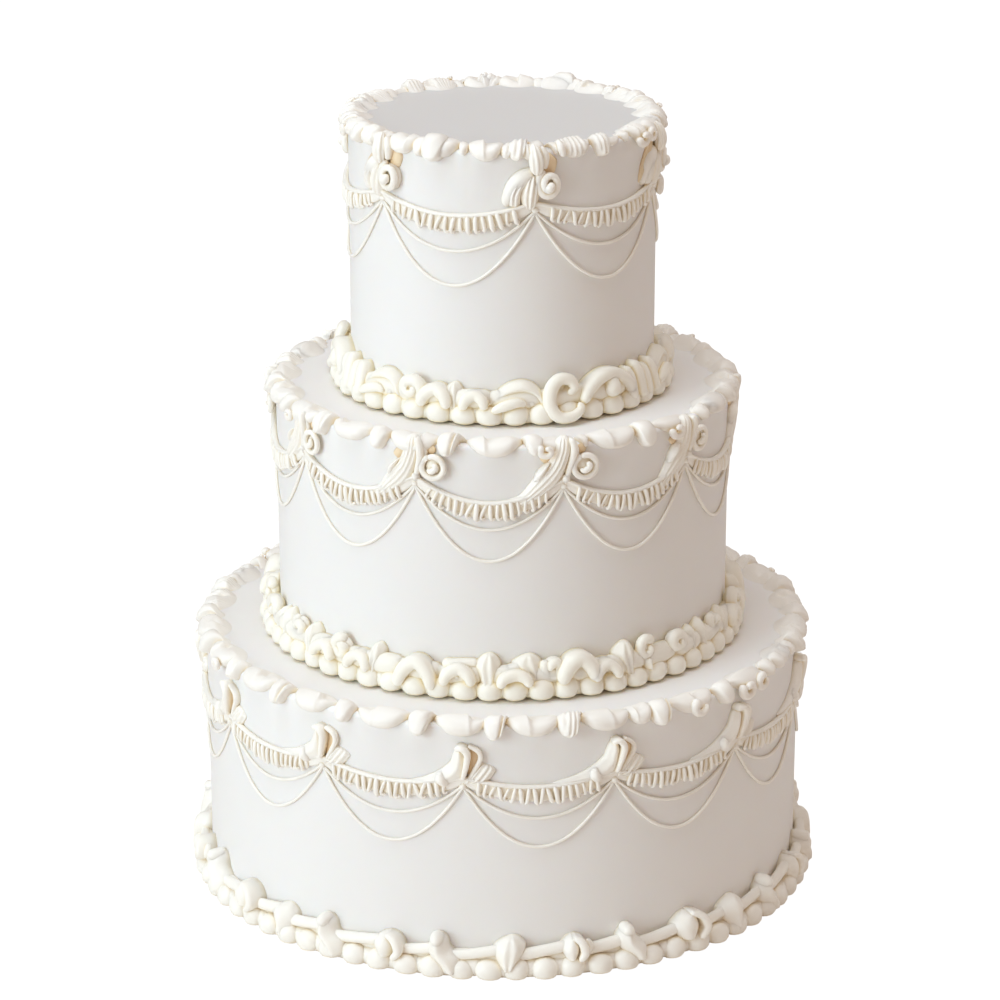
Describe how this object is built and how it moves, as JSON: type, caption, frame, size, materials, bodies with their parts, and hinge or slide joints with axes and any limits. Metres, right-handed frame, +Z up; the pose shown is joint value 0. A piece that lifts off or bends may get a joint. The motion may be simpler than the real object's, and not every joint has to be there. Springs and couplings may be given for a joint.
{
  "type": "tiered wedding cake",
  "caption": "Round tiered wedding cake in smooth white icing, with piped top borders, ribbed garlands, drop strings, shells, and pearls at the foot of each tier.",
  "frame": {"origin": "centre of the cake's base, where it rests", "axes": "+Z up through the tiers; -Y is the front, the side with the drop points seen best"},
  "size_m": [0.3246, 0.3246, 0.4001],
  "materials": {
    "smooth_icing": "smooth matte white icing",
    "piped_icing": "slightly glossy ivory piped icing"
  },
  "bodies": {
    "root": {"cake_tier_bottom": "smooth_icing", "cake_tier_middle": "smooth_icing", "cake_tier_top": "smooth_icing", "foot_pearls_bottom": "piped_icing", "foot_pearls_middle": "piped_icing", "foot_pearls_top": "piped_icing", "foot_scrolls_bottom": "piped_icing", "foot_scrolls_middle": "piped_icing", "foot_scrolls_top": "piped_icing", "top_border_bottom": "piped_icing", "top_border_middle": "piped_icing", "top_border_top": "piped_icing", "ribbed_garland_bottom": "piped_icing", "ribbed_garland_middle": "piped_icing", "ribbed_garland_top": "piped_icing", "upper_string_bottom": "piped_icing", "upper_string_middle": "piped_icing", "upper_string_top": "piped_icing", "lower_string_bottom": "piped_icing", "lower_string_middle": "piped_icing", "lower_string_top": "piped_icing", "shell_rosette_top_1": "piped_icing", "shell_rosette_top_2": "piped_icing", "shell_rosette_top_3": "piped_icing", "shell_rosette_top_4": "piped_icing", "shell_rosette_top_5": "piped_icing", "shell_rosette_top_6": "piped_icing", "scroll_rosette_middle_1": "piped_icing", "scroll_rosette_middle_2": "piped_icing", "scroll_rosette_middle_3": "piped_icing", "scroll_rosette_middle_4": "piped_icing", "scroll_rosette_middle_5": "piped_icing", "scroll_rosette_middle_6": "piped_icing", "scroll_rosette_middle_7": "piped_icing", "scroll_rosette_middle_8": "piped_icing", "scroll_rosette_middle_9": "piped_icing", "scroll_rosette_middle_10": "piped_icing", "horn_shell_bottom_1": "piped_icing", "horn_shell_bottom_2": "piped_icing", "horn_shell_bottom_3": "piped_icing", "horn_shell_bottom_4": "piped_icing", "horn_shell_bottom_5": "piped_icing", "horn_shell_bottom_6": "piped_icing", "horn_shell_bottom_7": "piped_icing", "horn_shell_bottom_8": "piped_icing", "horn_shell_bottom_9": "piped_icing", "horn_shell_bottom_10": "piped_icing", "horn_shell_bottom_11": "piped_icing", "horn_shell_bottom_12": "piped_icing", "horn_shell_bottom_13": "piped_icing"}
  },
  "joints": []
}
